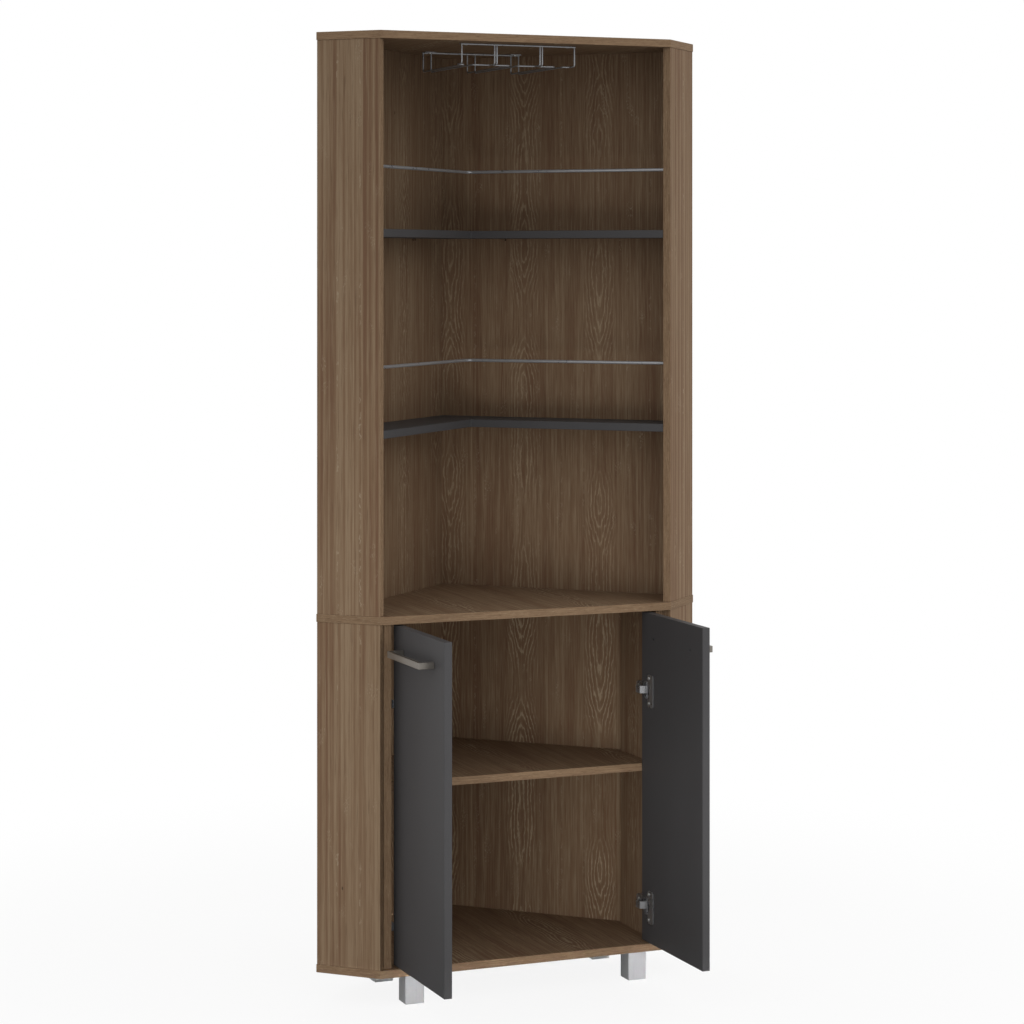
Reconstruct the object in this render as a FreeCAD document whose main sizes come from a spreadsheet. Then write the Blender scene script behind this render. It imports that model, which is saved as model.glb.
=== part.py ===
import FreeCAD, Part
import math
import os
import re

from FreeCAD import Placement, Rotation, Vector

doc = FreeCAD.newDocument("corner_bar_cabinet")
sheet = doc.addObject("Spreadsheet::Sheet", "Sizes")

# Driving sizes in millimetres. The origin is the middle of the rear foot on the floor:
# +Y points into the corner of the room, +X to the right of someone facing the doors.
sizes = {
    # carcass
    "wall_length": 550,  # edge of a board along each wall
    "return_length": 132,  # short edge from the wall's end to the front edge
    "board": 15,  # every board, panel, shelf and door
    "edge_inset": 1,  # panels stand this far behind the boards' edges
    "edge_round": 0.8,
    "lower_bay": 340,  # each bay runs from one top face to the next
    "inner_bay": 311,
    "counter_bay": 342,
    "middle_bay": 373,
    "top_bay": 366,
    "inner_shelf_gap": 4,  # behind the doors' swing
    "hinge_panel_gap": 0.5,
    "shelf_gap": 0.5,
    # legs
    "leg_height": 53,
    "leg_size": 37,
    "leg_round": 1.5,
    "leg_side_inset": 50.5,  # from the end of the front edge
    "front_leg_setback": 4,
    "side_leg_setback": 174,
    "rear_leg_inset": 70,  # middle of the rear leg to the boards' rear corner
    "stud_radius": 4,
    "stud_length": 28,
    "stud_in_board": 12,
    # doors, drawn open at a right angle
    "swing_gap": 1.5,  # between a swinging door and its hinge panel
    "door_meeting_gap": 3,
    "door_height_gap": 3,
    "pivot_from_edge": 14,
    "pivot_below_face": 4.5,  # under the door's inner face
    # handles
    "handle_height": 12,
    "handle_thick": 8,
    "handle_reach": 30,
    "handle_round": 0.8,
    "handle_below_top": 47,
    "handle_end_gap": 48.5,  # from each end of the handle to the door's edge
    "handle_screw_radius": 2,
    "handle_screw_in_leg": 12,
    "handle_head_radius": 4,
    "handle_head_height": 2.5,
    # cup hinges
    "hinge_below_top": 148,
    "hinge_above_foot": 69,
    "cup_edge_wall": 3.5,
    "cup_radius": 17.5,
    "cup_depth": 11.5,
    "cup_wall": 1.6,
    "flange_thick": 2.2,
    "flange_height": 62,
    "flange_width": 22,
    "flange_start": 9,  # from the cup's middle, away from the hinge edge
    "flange_corner": 4,
    "cup_screw_offset": 14,
    "cup_screw_spacing": 48,
    "hinge_pin_radius": 1.5,
    "hinge_pin_gap": 0.05,
    "knuckle_radius": 3,
    "arm_height": 14,
    "arm_thick": 2,
    "arm_reach": 14,
    "arm_slope": 4,  # outer end of the arm's web behind the pin
    "arm_behind_edge": 5.5,  # far side of the cross run, behind the open door's hinge edge
    "plate_thick": 10,
    "plate_height": 16,
    "plate_length": 44,
    "wing_thick": 2,
    "wing_width": 14,
    "wing_height": 46,
    "plate_screw_spacing": 32,
    "arm_screw_radius": 2,
    "arm_screw_length": 9,
    "arm_screw_end": 10,
    # gallery rails
    "rail_rod": 6,
    "rail_height": 116.5,  # shelf top to the middle of the rod
    "rail_setback": 14,
    "rail_bend": 12,
    "rail_socket": 8,
    # glass rack
    "rack_wire": 3,
    "rack_bar": 3.6,
    "rack_drop": 37,
    "rack_setback": 50,
    "rack_rear_gap": 63,  # rear bar's ends to the back panels
    "rack_cross_setback": 24,
    "rack_pitch": 93,
    "rack_slot": 16.5,
    "rack_half_width": 115.5,
    "rack_pair": 4.8,
    "rack_bend": 5,
    "rack_tab_length": 22,
    "rack_tab_width": 14,
    "rack_tab_thick": 2,
    # fasteners
    "fit_gap": 0.1,
    "screw_radius": 3.5,
    "screw_length": 50,
    "screw_head_radius": 5,
    "screw_head_height": 4,
    "screw_end": 30,
    "dowel_radius": 4,
    "dowel_length": 30,
    "dowel_in_face": 10,
    "dowel_end": 50,
    "side_dowel_end": 150,
    "pin_radius": 2.5,
    "pin_length": 16,
    "pin_end": 25,
    "wood_screw_radius": 1.75,
    "wood_screw_length": 12,
    "wood_screw_head_radius": 3.5,
    "wood_screw_head_height": 1.8,
}
for row, (name, number) in enumerate(sizes.items(), start=1):
    sheet.set(f"A{row}", name.replace("_", " "))
    sheet.set(f"B{row}", str(number))
    sheet.setAlias(f"B{row}", name)

# Heights of top faces above the floor, each on the bay below it.
heights = {
    "inner_shelf_height": "leg_height + board + lower_bay",
    "counter_height": "inner_shelf_height + inner_bay",
    "middle_shelf_height": "counter_height + counter_bay",
    "upper_shelf_height": "middle_shelf_height + middle_bay",
    "total_height": "upper_shelf_height + top_bay",
}
for row, (name, formula) in enumerate(heights.items(), start=len(sizes) + 1):
    sheet.set(f"A{row}", name.replace("_", " "))
    sheet.set(f"B{row}", f"={formula}")
    sheet.setAlias(f"B{row}", name)
doc.recompute()

# Lines of the plan, as expressions. Along and off are distances from the boards' rear corner,
# along one wall and off it; the front edge of the boards is a straight line in X.
front = "(rear_leg_inset - (wall_length + return_length) / sqrt(2))"
wall_face = "(edge_inset + board)"
side_face = "(wall_length - edge_inset - board)"
side_front = "(return_length - edge_inset)"
hinge_out = f"(({side_face} - {side_front}) / sqrt(2) - hinge_panel_gap)"
hinge_in = f"({hinge_out} - board)"
hinge_front = f"(rear_leg_inset - ({side_face} + {side_front}) / sqrt(2))"
hinge_rear = f"(rear_leg_inset - {hinge_out} - sqrt(2) * {wall_face} - hinge_panel_gap)"
pivot_from_front = "(board - pivot_below_face)"
swing = f"sqrt(pivot_from_edge * pivot_from_edge + {pivot_from_front} * {pivot_from_front})"
pivot_x = f"({hinge_in} - swing_gap - {swing})"
pivot_y = f"({front} + {pivot_from_front})"
door_inner = f"({pivot_x} - pivot_below_face)"
door_outer = f"({door_inner} + board)"
door_edge = f"({pivot_y} + pivot_from_edge)"
door_free = f"({pivot_y} - {pivot_x} + door_meeting_gap / 2)"
lower_floor = "(leg_height + board)"
lower_ceiling = "(counter_height - board)"
upper_ceiling = "(total_height - board)"
door_low = f"({lower_floor} + door_height_gap)"
door_high = f"({lower_ceiling} - door_height_gap)"

# Turns that take +Z to the direction named.
up = Rotation()
down = Rotation(Vector(1, 0, 0), 180)
right = Rotation(Vector(0, 1, 0), 90)
along_right_wall = Rotation(Vector(1, 1, 0), 90)
along_left_wall = Rotation(Vector(1, -1, 0), 90)
wall_turn = Rotation(Vector(0, 0, 1), -45)

pieces = {}


def cells(text):
    def cell(word):
        return f"Sizes.{word[0]}" if word[0] in sizes or word[0] in heights else word[0]

    return re.sub(r"[a-z_]+", cell, text)


def bind(item, **texts):
    for key, text in texts.items():
        item.setExpression(key, cells(text))
    return item


def place(item, x, y, z, turn=up):
    item.Placement = Placement(Vector(), turn)
    for axis, text in zip("xyz", (x, y, z)):
        item.setExpression(f"Placement.Base.{axis}", cells(text))
    return item


def piece(label, item):
    item.Label = label
    pieces[label] = item
    return item


def wall_point(along, off):
    x = f"({along} - ({off})) / sqrt(2)"
    y = f"rear_leg_inset - ({along} + {off}) / sqrt(2)"
    return x, y


def box(name, x, y, z):
    item = doc.addObject("Part::Box", name)
    bind(item, Length=f"{x[1]} - ({x[0]})", Width=f"{y[1]} - ({y[0]})", Height=f"{z[1]} - ({z[0]})")
    return place(item, x[0], y[0], z[0])


def wall_box(name, along, off, z):
    item = doc.addObject("Part::Box", name)
    bind(
        item,
        Length=f"{along[1]} - ({along[0]})",
        Width=f"{off[1]} - ({off[0]})",
        Height=f"{z[1]} - ({z[0]})",
    )
    return place(item, *wall_point(along[0], off[1]), z[0], wall_turn)


def cylinder(name, radius, height, x="0", y="0", z="0", turn=up):
    item = bind(doc.addObject("Part::Cylinder", name), Radius=radius, Height=height)
    return place(item, x, y, z, turn)


def compound(name, items):
    item = doc.addObject("Part::Compound", name)
    item.Links = items
    return item


def fuse(name, items):
    item = doc.addObject("Part::MultiFuse", name)
    item.Shapes = items
    return item


def cut(name, base, tools):
    item = doc.addObject("Part::Cut", name)
    item.Base = base
    item.Tool = tools[0] if len(tools) == 1 else compound(f"{name}_tools", tools)
    return item


def common(name, items):
    item = doc.addObject("Part::MultiCommon", name)
    item.Shapes = items
    return item


def mirror(name, source):
    item = doc.addObject("Part::Mirroring", name)
    item.Source = source
    item.Normal = Vector(1, 0, 0)
    return item


def rounded(base, radius="edge_round", along=None):
    doc.recompute()
    size = getattr(sheet, radius)
    item = doc.addObject("Part::Fillet", f"{base.Name}_rounded")
    item.Base = base
    item.Edges = [
        (number, size, size)
        for number, edge in enumerate(base.Shape.Edges, start=1)
        if along is None or edge.Curve.Direction.isParallel(along, 0)
    ]
    return item


def copies(name, master, places):
    links = []
    for number, (x, y, z, turn) in enumerate(places):
        link = doc.addObject("App::Link", f"{name}_{number}")
        link.LinkedObject = master
        links.append(place(link, x, y, z, turn))
    return links


def both_halves(name, master, places):
    half = compound(f"{name}_right", copies(name, master, places))
    return compound(name, [half, mirror(f"{name}_left", half)])


# Fasteners are drawn at the origin, going in along +Z.
def flush_screw(name, radius, length, head_radius, head_height):
    head = cylinder(f"{name}_head", head_radius, head_height)
    screw = fuse(name, [head, cylinder(f"{name}_shank", radius, length)])
    head_bore = cylinder(f"{name}_head_bore", f"{head_radius} + fit_gap", head_height)
    shank_bore = cylinder(f"{name}_shank_bore", f"{radius} + fit_gap", f"{length} + fit_gap")
    return screw, fuse(f"{name}_bore", [head_bore, shank_bore])


def plain_pin(name, radius, length):
    pin = cylinder(name, radius, length)
    bore = cylinder(f"{name}_bore", f"{radius} + fit_gap", f"{length} + 2 * fit_gap", z="-fit_gap")
    return pin, compound(f"{name}_bores", [bore])


def pan_screw(name, radius, length, head_radius, head_height):
    head = cylinder(f"{name}_head", head_radius, head_height, z=f"-{head_height}")
    screw = fuse(name, [head, cylinder(f"{name}_shank", radius, length)])
    reach = f"{length} + 2 * fit_gap"
    bore = cylinder(f"{name}_bore", f"{radius} + fit_gap", reach, z="-fit_gap")
    return screw, compound(f"{name}_bores", [bore])


screw, screw_bore = flush_screw(
    "board_screw", "screw_radius", "screw_length", "screw_head_radius", "screw_head_height"
)
dowel, dowel_bore = plain_pin("dowel", "dowel_radius", "dowel_length")
shelf_pin, shelf_pin_bore = plain_pin("shelf_pin", "pin_radius", "pin_length")
stud, stud_bore = plain_pin("leg_stud", "stud_radius", "stud_length")
wood_screw, wood_screw_bore = pan_screw(
    "wood_screw",
    "wood_screw_radius",
    "wood_screw_length",
    "wood_screw_head_radius",
    "wood_screw_head_height",
)
arm_screw, arm_screw_bore = pan_screw(
    "arm_screw",
    "arm_screw_radius",
    "arm_screw_length",
    "wood_screw_head_radius",
    "wood_screw_head_height",
)
handle_screw, handle_screw_bore = flush_screw(
    "handle_screw",
    "handle_screw_radius",
    "(board + handle_screw_in_leg)",
    "handle_head_radius",
    "handle_head_height",
)


# Where the panels of the right half are fastened into the boards above and below them.
side_screw_share = 0.23
side_dowel_share = 0.38


def panel_ends(side_share, back_end):
    side_end = f"{side_share} * ({side_front} - edge_inset)"
    side_middle = f"({side_face} + board / 2)"
    back_middle = "(edge_inset + board / 2)"
    return [
        wall_point(side_middle, f"(edge_inset + {side_end})"),
        wall_point(side_middle, f"({side_front} - {side_end})"),
        wall_point(f"({wall_face} + {back_end})", back_middle),
        wall_point(f"({side_face} - {back_end})", back_middle),
    ]


def hinge_panel_ends(distance):
    middle = f"({hinge_in} + board / 2)"
    return [(middle, f"{hinge_front} + {distance}"), (middle, f"{hinge_rear} - {distance}")]


def at_height(points, z, turn):
    return [(x, y, z, turn) for x, y in points]


outer_ends = panel_ends(side_screw_share, "screw_end")
top_screw_places = at_height(outer_ends, "total_height", down)
counter_screw_places = at_height(outer_ends, "counter_height", down)
bottom_screw_places = at_height(outer_ends + hinge_panel_ends("screw_end"), "leg_height", up)
inner_ends = panel_ends(side_dowel_share, "dowel_end")
upper_dowel_places = at_height(inner_ends, "counter_height - dowel_in_face", up)
hinge_dowel_places = at_height(
    hinge_panel_ends("screw_end"), f"{lower_ceiling} - (dowel_length - dowel_in_face)", up
)


def heights_between(low, high):
    return [f"{low} + side_dowel_end", f"{high} - side_dowel_end"]


wall_heights = heights_between(lower_floor, lower_ceiling)
wall_heights += heights_between("counter_height", upper_ceiling)
side_dowel_start = f"({side_face} - (dowel_length - dowel_in_face))"
side_dowel_places = [
    (*wall_point(side_dowel_start, "(edge_inset + board / 2)"), z, along_right_wall) for z in wall_heights
]
corner_screw_places = [
    (*wall_point("(edge_inset + board / 2)", "edge_inset"), z, along_left_wall) for z in wall_heights
]

top_bores = both_halves("top_bores", screw_bore, top_screw_places)
counter_bores = both_halves("counter_bores", screw_bore, counter_screw_places)
bottom_bores = both_halves("bottom_bores", screw_bore, bottom_screw_places)
corner_bores = compound("corner_bores", copies("corner_bore", screw_bore, corner_screw_places))
upper_dowel_bores = both_halves("upper_dowel_bores", dowel_bore, upper_dowel_places)
hinge_dowel_bores = both_halves("hinge_dowel_bores", dowel_bore, hinge_dowel_places)
side_dowel_bores = both_halves("side_dowel_bores", dowel_bore, side_dowel_places)

all_screw_places = top_screw_places + counter_screw_places + bottom_screw_places
corner_screws = compound("corner_screws", copies("corner_screw", screw, corner_screw_places))
piece(
    "assembly_screws",
    compound("all_screws", [both_halves("board_screws", screw, all_screw_places), corner_screws]),
)
all_dowel_places = upper_dowel_places + hinge_dowel_places + side_dowel_places
piece("dowels", both_halves("all_dowels", dowel, all_dowel_places))


# Shelf pins under each shelf, half in the panel and half under the shelf.
def pin_height(shelf_height):
    return f"{shelf_height} - board - pin_radius"


def wall_pins(shelf_height):
    into_wall = f"({wall_face} - pin_length / 2)"
    into_side = f"({side_face} - pin_length / 2)"
    z = pin_height(shelf_height)
    return [
        (*wall_point(f"({side_front} + pin_end)", into_wall), z, along_left_wall),
        (*wall_point(f"({side_face} - pin_end)", into_wall), z, along_left_wall),
        (*wall_point(into_side, f"({side_front} - pin_end)"), z, along_right_wall),
    ]


inner_pin_z = pin_height("inner_shelf_height")
inner_shelf_front = f"({pivot_y} + {swing} + inner_shelf_gap)"
inner_pin_wall = wall_point(f"({side_front} + pin_end)", f"({wall_face} - pin_length / 2)")
inner_pin_places = [
    (f"{hinge_in} - pin_length / 2", f"{inner_shelf_front} + pin_end", inner_pin_z, right),
    (f"{hinge_in} - pin_length / 2", f"{hinge_rear} - pin_end", inner_pin_z, right),
    (*inner_pin_wall, inner_pin_z, along_left_wall),
]
pin_places = wall_pins("upper_shelf_height") + wall_pins("middle_shelf_height") + inner_pin_places
pin_bores = both_halves("pin_bores", shelf_pin_bore, pin_places)
piece("shelf_pins", both_halves("all_shelf_pins", shelf_pin, pin_places))

# Legs stand under the bottom board on studs that reach into both.
stud_z = "leg_height + stud_in_board - stud_length"
leg_right = "((wall_length - return_length) / sqrt(2) - leg_side_inset - leg_size / 2)"
leg_middles = {
    "front": f"{front} + front_leg_setback + leg_size / 2",
    "side": f"{front} + side_leg_setback + leg_size / 2",
}
stud_places = [(leg_right, y, stud_z, up) for y in leg_middles.values()]
rear_stud_place = [("0", "0", stud_z, up)]


def with_rear_stud(name, master):
    pairs = both_halves(f"{name}_pairs", master, stud_places)
    return compound(name, [pairs, *copies(f"{name}_rear", master, rear_stud_place)])


stud_bores = with_rear_stud("stud_bores", stud_bore)
piece("leg_studs", with_rear_stud("all_leg_studs", stud))


def leg(name, x, y):
    post = box(
        f"{name}_post",
        (f"{x} - leg_size / 2", f"{x} + leg_size / 2"),
        (f"{y} - leg_size / 2", f"{y} + leg_size / 2"),
        ("0", "leg_height"),
    )
    return cut(name, rounded(post, "leg_round"), [stud_bores])


for row, y in leg_middles.items():
    right_leg = piece(f"{row}_right_leg", leg(f"{row}_right_leg", leg_right, y))
    piece(f"{row}_left_leg", mirror(f"{row}_left_leg", right_leg))
piece("rear_leg", leg("rear_leg", "0", "0"))

# Gallery rails: one bent rod above each open shelf, its ends seated in the side panels.
rail_line = f"({side_front} - rail_setback)"
socket_places = [
    (*wall_point(side_face, rail_line), f"{shelf} + rail_height", along_right_wall)
    for shelf in ("upper_shelf_height", "middle_shelf_height")
]
socket_bore = cylinder("socket_bore", "rail_rod / 2 + fit_gap", "rail_socket + fit_gap")
socket_bores = both_halves("socket_bores", socket_bore, socket_places)


def bent_rod(points, bend, radius):
    edges = []
    start = points[0]
    for before, corner, after in zip(points, points[1:], points[2:]):
        back = (before - corner).normalize()
        ahead = (after - corner).normalize()
        half_angle = back.getAngle(ahead) / 2
        inward = (back + ahead).normalize()
        arc_start = corner + back * (bend / math.tan(half_angle))
        arc_end = corner + ahead * (bend / math.tan(half_angle))
        arc_middle = corner + inward * (bend / math.sin(half_angle) - bend)
        edges.append(Part.LineSegment(start, arc_start).toShape())
        edges.append(Part.Arc(arc_start, arc_middle, arc_end).toShape())
        start = arc_end
    edges.append(Part.LineSegment(start, points[-1]).toShape())
    spine = Part.Wire(edges)
    section = Part.Wire([Part.Circle(points[0], points[1] - points[0], radius).toShape()])
    return spine.makePipeShell([section], True, False)


def gallery_rail(label, shelf_height):
    line = sheet.return_length - sheet.edge_inset - sheet.rail_setback
    end = sheet.wall_length - sheet.edge_inset - sheet.board + sheet.rail_socket

    def rail_point(along, off):
        return Vector((along - off) / math.sqrt(2), sheet.rear_leg_inset - (along + off) / math.sqrt(2), 0)

    route = [rail_point(end, line), rail_point(line, line), rail_point(line, end)]
    item = doc.addObject("Part::Feature", label)
    item.Shape = bent_rod(route, sheet.rail_bend, sheet.rail_rod / 2)
    return piece(label, place(item, "0", "0", f"{shelf_height} + rail_height"))


gallery_rail("upper_rail", "upper_shelf_height")
gallery_rail("middle_rail", "middle_shelf_height")

# Glass rack: six bent wires between two bars under the top board leave three slots for stems.
# It is drawn hanging from the floor line and then lifted to the top board's underside.
front_line = sheet.rear_leg_inset - (sheet.wall_length + sheet.return_length) / math.sqrt(2)
rack_front = front_line + sheet.rack_setback
rear_half_width = sheet.rack_pitch + sheet.rack_slot / 2
back_line = sheet.rear_leg_inset - math.sqrt(2) * (sheet.edge_inset + sheet.board)
rack_rear = back_line - rear_half_width - sheet.rack_rear_gap
half_tab = Vector(sheet.rack_tab_length, -sheet.rack_tab_width, 0) / 2
tab_middles = [
    Vector(sheet.rack_half_width, rack_front, 0) - half_tab,
    Vector(rear_half_width - half_tab.x, rack_rear + half_tab.y, 0),
]
for middle in list(tab_middles):
    tab_middles.append(Vector(-middle.x, middle.y, 0))


def rack_wire(column, edge):
    bar_z = -sheet.rack_bar / 2
    low_z = bar_z - sheet.rack_drop
    cross_y = rack_front + sheet.rack_cross_setback
    slot_x = column * sheet.rack_pitch + edge * sheet.rack_slot / 2
    front_x = (column + edge / 2) * sheet.rack_pitch - edge * sheet.rack_pair / 2
    if column == edge:
        front_x = edge * sheet.rack_half_width
    route = [
        Vector(slot_x, rack_rear, bar_z),
        Vector(slot_x, rack_rear, low_z),
        Vector(slot_x, cross_y, low_z),
        Vector(front_x, cross_y, low_z),
        Vector(front_x, rack_front, low_z),
        Vector(front_x, rack_front, bar_z),
    ]
    return bent_rod(route, sheet.rack_bend, sheet.rack_wire / 2)


def rack_bar(half_width, y):
    reach = half_width + sheet.rack_bar / 2
    start = Vector(-reach, y, -sheet.rack_bar / 2)
    return Part.makeCylinder(sheet.rack_bar / 2, 2 * reach, start, Vector(1, 0, 0))


def rack_tab(middle):
    size = Vector(sheet.rack_tab_length, sheet.rack_tab_width, sheet.rack_tab_thick)
    low = middle - Vector(size.x / 2, size.y / 2, size.z)
    hole = Part.makeCylinder(
        sheet.wood_screw_radius + sheet.fit_gap, size.z, middle - Vector(0, 0, size.z), Vector(0, 0, 1)
    )
    return Part.makeBox(size.x, size.y, size.z, low), hole


def glass_rack():
    wires = [rack_wire(column, edge) for column in (-1, 0, 1) for edge in (-1, 1)]
    bars = [rack_bar(sheet.rack_half_width, rack_front), rack_bar(rear_half_width, rack_rear)]
    tabs, holes = zip(*[rack_tab(middle) for middle in tab_middles])
    welded = bars[0].multiFuse([bars[1], *wires, *tabs])
    item = doc.addObject("Part::Feature", "glass_rack")
    item.Shape = welded.cut(list(holes)).Solids[0]
    return piece("glass_rack", place(item, "0", "0", upper_ceiling))


glass_rack()
rack_screw_z = f"{upper_ceiling} - rack_tab_thick"
front_tab = ("rack_half_width - rack_tab_length / 2", f"{front} + rack_setback + rack_tab_width / 2")
rear_bar_end = "(rack_pitch + rack_slot / 2)"
rear_bar_y = f"rear_leg_inset - sqrt(2) * {wall_face} - {rear_bar_end} - rack_rear_gap"
rear_tab = (f"{rear_bar_end} - rack_tab_length / 2", f"{rear_bar_y} - rack_tab_width / 2")
rack_tab_places = at_height([front_tab, rear_tab], rack_screw_z, up)
rack_bores = both_halves("rack_bores", wood_screw_bore, rack_tab_places)
piece("rack_screws", both_halves("all_rack_screws", wood_screw, rack_tab_places))


# Boards are squares with the corner towards the room sawn off.
def corner_board(label, top, bores):
    z = (f"{top} - board", top)
    square = wall_box(f"{label}_square", ("0", "wall_length"), ("0", "wall_length"), z)
    sawn = box(f"{label}_sawn", ("-wall_length", "wall_length"), (front, "rear_leg_inset"), z)
    blank = rounded(common(f"{label}_blank", [square, sawn]))
    return piece(label, cut(label, blank, bores))


corner_board("top_board", "total_height", [top_bores, rack_bores])
corner_board("counter_board", "counter_height", [counter_bores, upper_dowel_bores, hinge_dowel_bores])
corner_board("bottom_board", lower_floor, [bottom_bores, stud_bores])


# Upright panels: the side panels cover the ends of the back panels, and the right back the left one.
def side_panels(level, z, bores):
    blank = wall_box(
        f"{level}_side_blank",
        (side_face, "wall_length - edge_inset"),
        ("edge_inset", side_front),
        z,
    )
    right_side = piece(f"{level}_right_side", cut(f"{level}_right_side", rounded(blank), bores))
    piece(f"{level}_left_side", mirror(f"{level}_left_side", right_side))


def back_panels(level, z, bores):
    across = ("edge_inset", wall_face)
    right_blank = wall_box(f"{level}_right_blank", ("edge_inset", side_face), across, z)
    left_blank = wall_box(f"{level}_left_blank", across, (wall_face, side_face), z)
    piece(f"{level}_right_back", cut(f"{level}_right_back", right_blank, bores))
    piece(f"{level}_left_back", cut(f"{level}_left_back", left_blank, bores))


upper_span = ("counter_height", upper_ceiling)
lower_span = (lower_floor, lower_ceiling)
upper_bores = [top_bores, upper_dowel_bores, side_dowel_bores]
lower_bores = [counter_bores, bottom_bores, side_dowel_bores]
side_panels("upper", upper_span, [*upper_bores, pin_bores, socket_bores])
back_panels("upper", upper_span, [*upper_bores, corner_bores, pin_bores])
side_panels("lower", lower_span, lower_bores)
back_panels("lower", lower_span, [*lower_bores, corner_bores, pin_bores])


# Open shelves are L-shaped, as deep as the side panels.
def open_shelf(label, height):
    z = (f"{height} - board", height)
    near = f"({wall_face} + shelf_gap)"
    far = f"({side_face} - shelf_gap)"
    square = wall_box(f"{label}_square", (near, far), (near, far), z)
    notch = wall_box(f"{label}_notch", (side_front, side_face), (side_front, side_face), z)
    return piece(label, rounded(cut(f"{label}_blank", square, [notch])))


open_shelf("upper_shelf", "upper_shelf_height")
open_shelf("middle_shelf", "middle_shelf_height")

inner_reach = f"({hinge_in} - shelf_gap)"
inner_z = ("inner_shelf_height - board", "inner_shelf_height")
inner_near = f"({wall_face} + shelf_gap)"
inner_square = wall_box("inner_square", (inner_near, "wall_length"), (inner_near, "wall_length"), inner_z)
inner_strip = box(
    "inner_strip", (f"-{inner_reach}", inner_reach), (inner_shelf_front, "rear_leg_inset"), inner_z
)
piece("inner_shelf", rounded(common("inner_blank", [inner_square, inner_strip])))

# Doors hang on two cup hinges each. All of this is drawn for the right door and mirrored.
hinge_heights = {
    "upper": f"({door_high} - hinge_below_top)",
    "lower": f"({door_low} + hinge_above_foot)",
}
cup_y = f"({door_edge} - cup_edge_wall - cup_radius)"
plate_face = f"({hinge_in} - plate_thick)"
arm_line = f"({pivot_x} - arm_reach)"
arm_far_y = f"({door_edge} + arm_behind_edge)"
plate_rear = f"({arm_far_y} + plate_length)"
plate_middle = f"({arm_far_y} + plate_length / 2)"


def spaced(x, y, z, spacing, turn):
    return [(x, y, f"{z} - {spacing} / 2", turn), (x, y, f"{z} + {spacing} / 2", turn)]


cup_screw_places = []
plate_screw_places = []
arm_screw_places = []
for z in hinge_heights.values():
    cup_screw_places += spaced(
        f"{door_inner} - flange_thick", f"{cup_y} - cup_screw_offset", z, "cup_screw_spacing", right
    )
    plate_screw_places += spaced(f"{hinge_in} - wing_thick", plate_middle, z, "plate_screw_spacing", right)
    arm_screw_places += [
        (f"{plate_face} - arm_thick", f"{arm_far_y} + arm_screw_end", z, right),
        (f"{plate_face} - arm_thick", f"{plate_rear} - arm_screw_end", z, right),
    ]
cup_screw_bores = compound("cup_screw_bores", copies("cup_screw_bore", wood_screw_bore, cup_screw_places))
arm_screw_bores = compound("arm_screw_bores", copies("arm_screw_bore", arm_screw_bore, arm_screw_places))
plate_screw_bores = compound(
    "plate_screw_bores", copies("plate_screw_bore", wood_screw_bore, plate_screw_places)
)
piece("plate_screws", both_halves("all_plate_screws", wood_screw, plate_screw_places))
piece("arm_screws", both_halves("all_arm_screws", arm_screw, arm_screw_places))
right_cup_screws = compound("right_cup_screws", copies("cup_screw", wood_screw, cup_screw_places))

handle_y = (f"({door_free} + handle_end_gap)", f"({door_edge} - handle_end_gap)")
handle_z = f"({door_high} - handle_below_top)"
handle_screw_places = [
    (door_inner, f"{handle_y[0]} + handle_thick / 2", handle_z, right),
    (door_inner, f"{handle_y[1]} - handle_thick / 2", handle_z, right),
]
handle_bores = compound("handle_bores", copies("handle_bore", handle_screw_bore, handle_screw_places))
right_handle_screws = compound(
    "right_handle_screws", copies("handle_screw_copy", handle_screw, handle_screw_places)
)


def door_panel():
    blank = box("door_blank", (door_inner, door_outer), (door_free, door_edge), (door_low, door_high))
    cup_bores = [
        cylinder(f"{level}_cup_bore", "cup_radius", "cup_depth", door_inner, cup_y, z, right)
        for level, z in hinge_heights.items()
    ]
    return cut("right_door", rounded(blank), [*cup_bores, cup_screw_bores, handle_bores])


def handle():
    z = (f"{handle_z} - handle_height / 2", f"{handle_z} + handle_height / 2")
    block = box("handle_block", (door_outer, f"{door_outer} + handle_reach"), handle_y, z)
    finger_gap = box(
        "handle_gap",
        (door_outer, f"{door_outer} + handle_reach - handle_thick"),
        (f"{handle_y[0]} + handle_thick", f"{handle_y[1]} - handle_thick"),
        z,
    )
    strap = rounded(cut("handle_strap", block, [finger_gap]), "handle_round")
    return cut("right_handle", strap, [handle_bores])


def hinge_cup(level, z):
    name = f"right_{level}_hinge_cup"
    shell_radius = "cup_radius - fit_gap"
    shell = cylinder(f"{name}_shell", shell_radius, "cup_depth - fit_gap", door_inner, cup_y, z, right)
    flange = box(
        f"{name}_flange",
        (f"{door_inner} - flange_thick", door_inner),
        (f"{cup_y} - flange_start - flange_width", f"{cup_y} - flange_start"),
        (f"{z} - flange_height / 2", f"{z} + flange_height / 2"),
    )
    hollow = cylinder(
        f"{name}_hollow",
        "cup_radius - fit_gap - cup_wall",
        "flange_thick + cup_depth - fit_gap - cup_wall",
        f"{door_inner} - flange_thick",
        cup_y,
        z,
        right,
    )
    pin_hole = cylinder(
        f"{name}_pin_hole", "hinge_pin_radius", "2 * cup_radius", pivot_x, pivot_y, f"{z} - cup_radius"
    )
    blank = fuse(f"{name}_blank", [shell, rounded(flange, "flange_corner", Vector(1, 0, 0))])
    return cut(name, blank, [hollow, pin_hole, cup_screw_bores])


# A hinge pin ends inside the cup's round wall, which it crosses off its middle.
def hinge_pin(level, z):
    off_middle = "(cup_edge_wall + cup_radius - pivot_from_edge + hinge_pin_radius)"
    shell_radius = "(cup_radius - fit_gap)"
    half = f"sqrt({shell_radius} * {shell_radius} - {off_middle} * {off_middle})"
    return cylinder(
        f"right_{level}_hinge_pin", "hinge_pin_radius", f"2 * {half}", pivot_x, pivot_y, f"{z} - {half}"
    )


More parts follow.
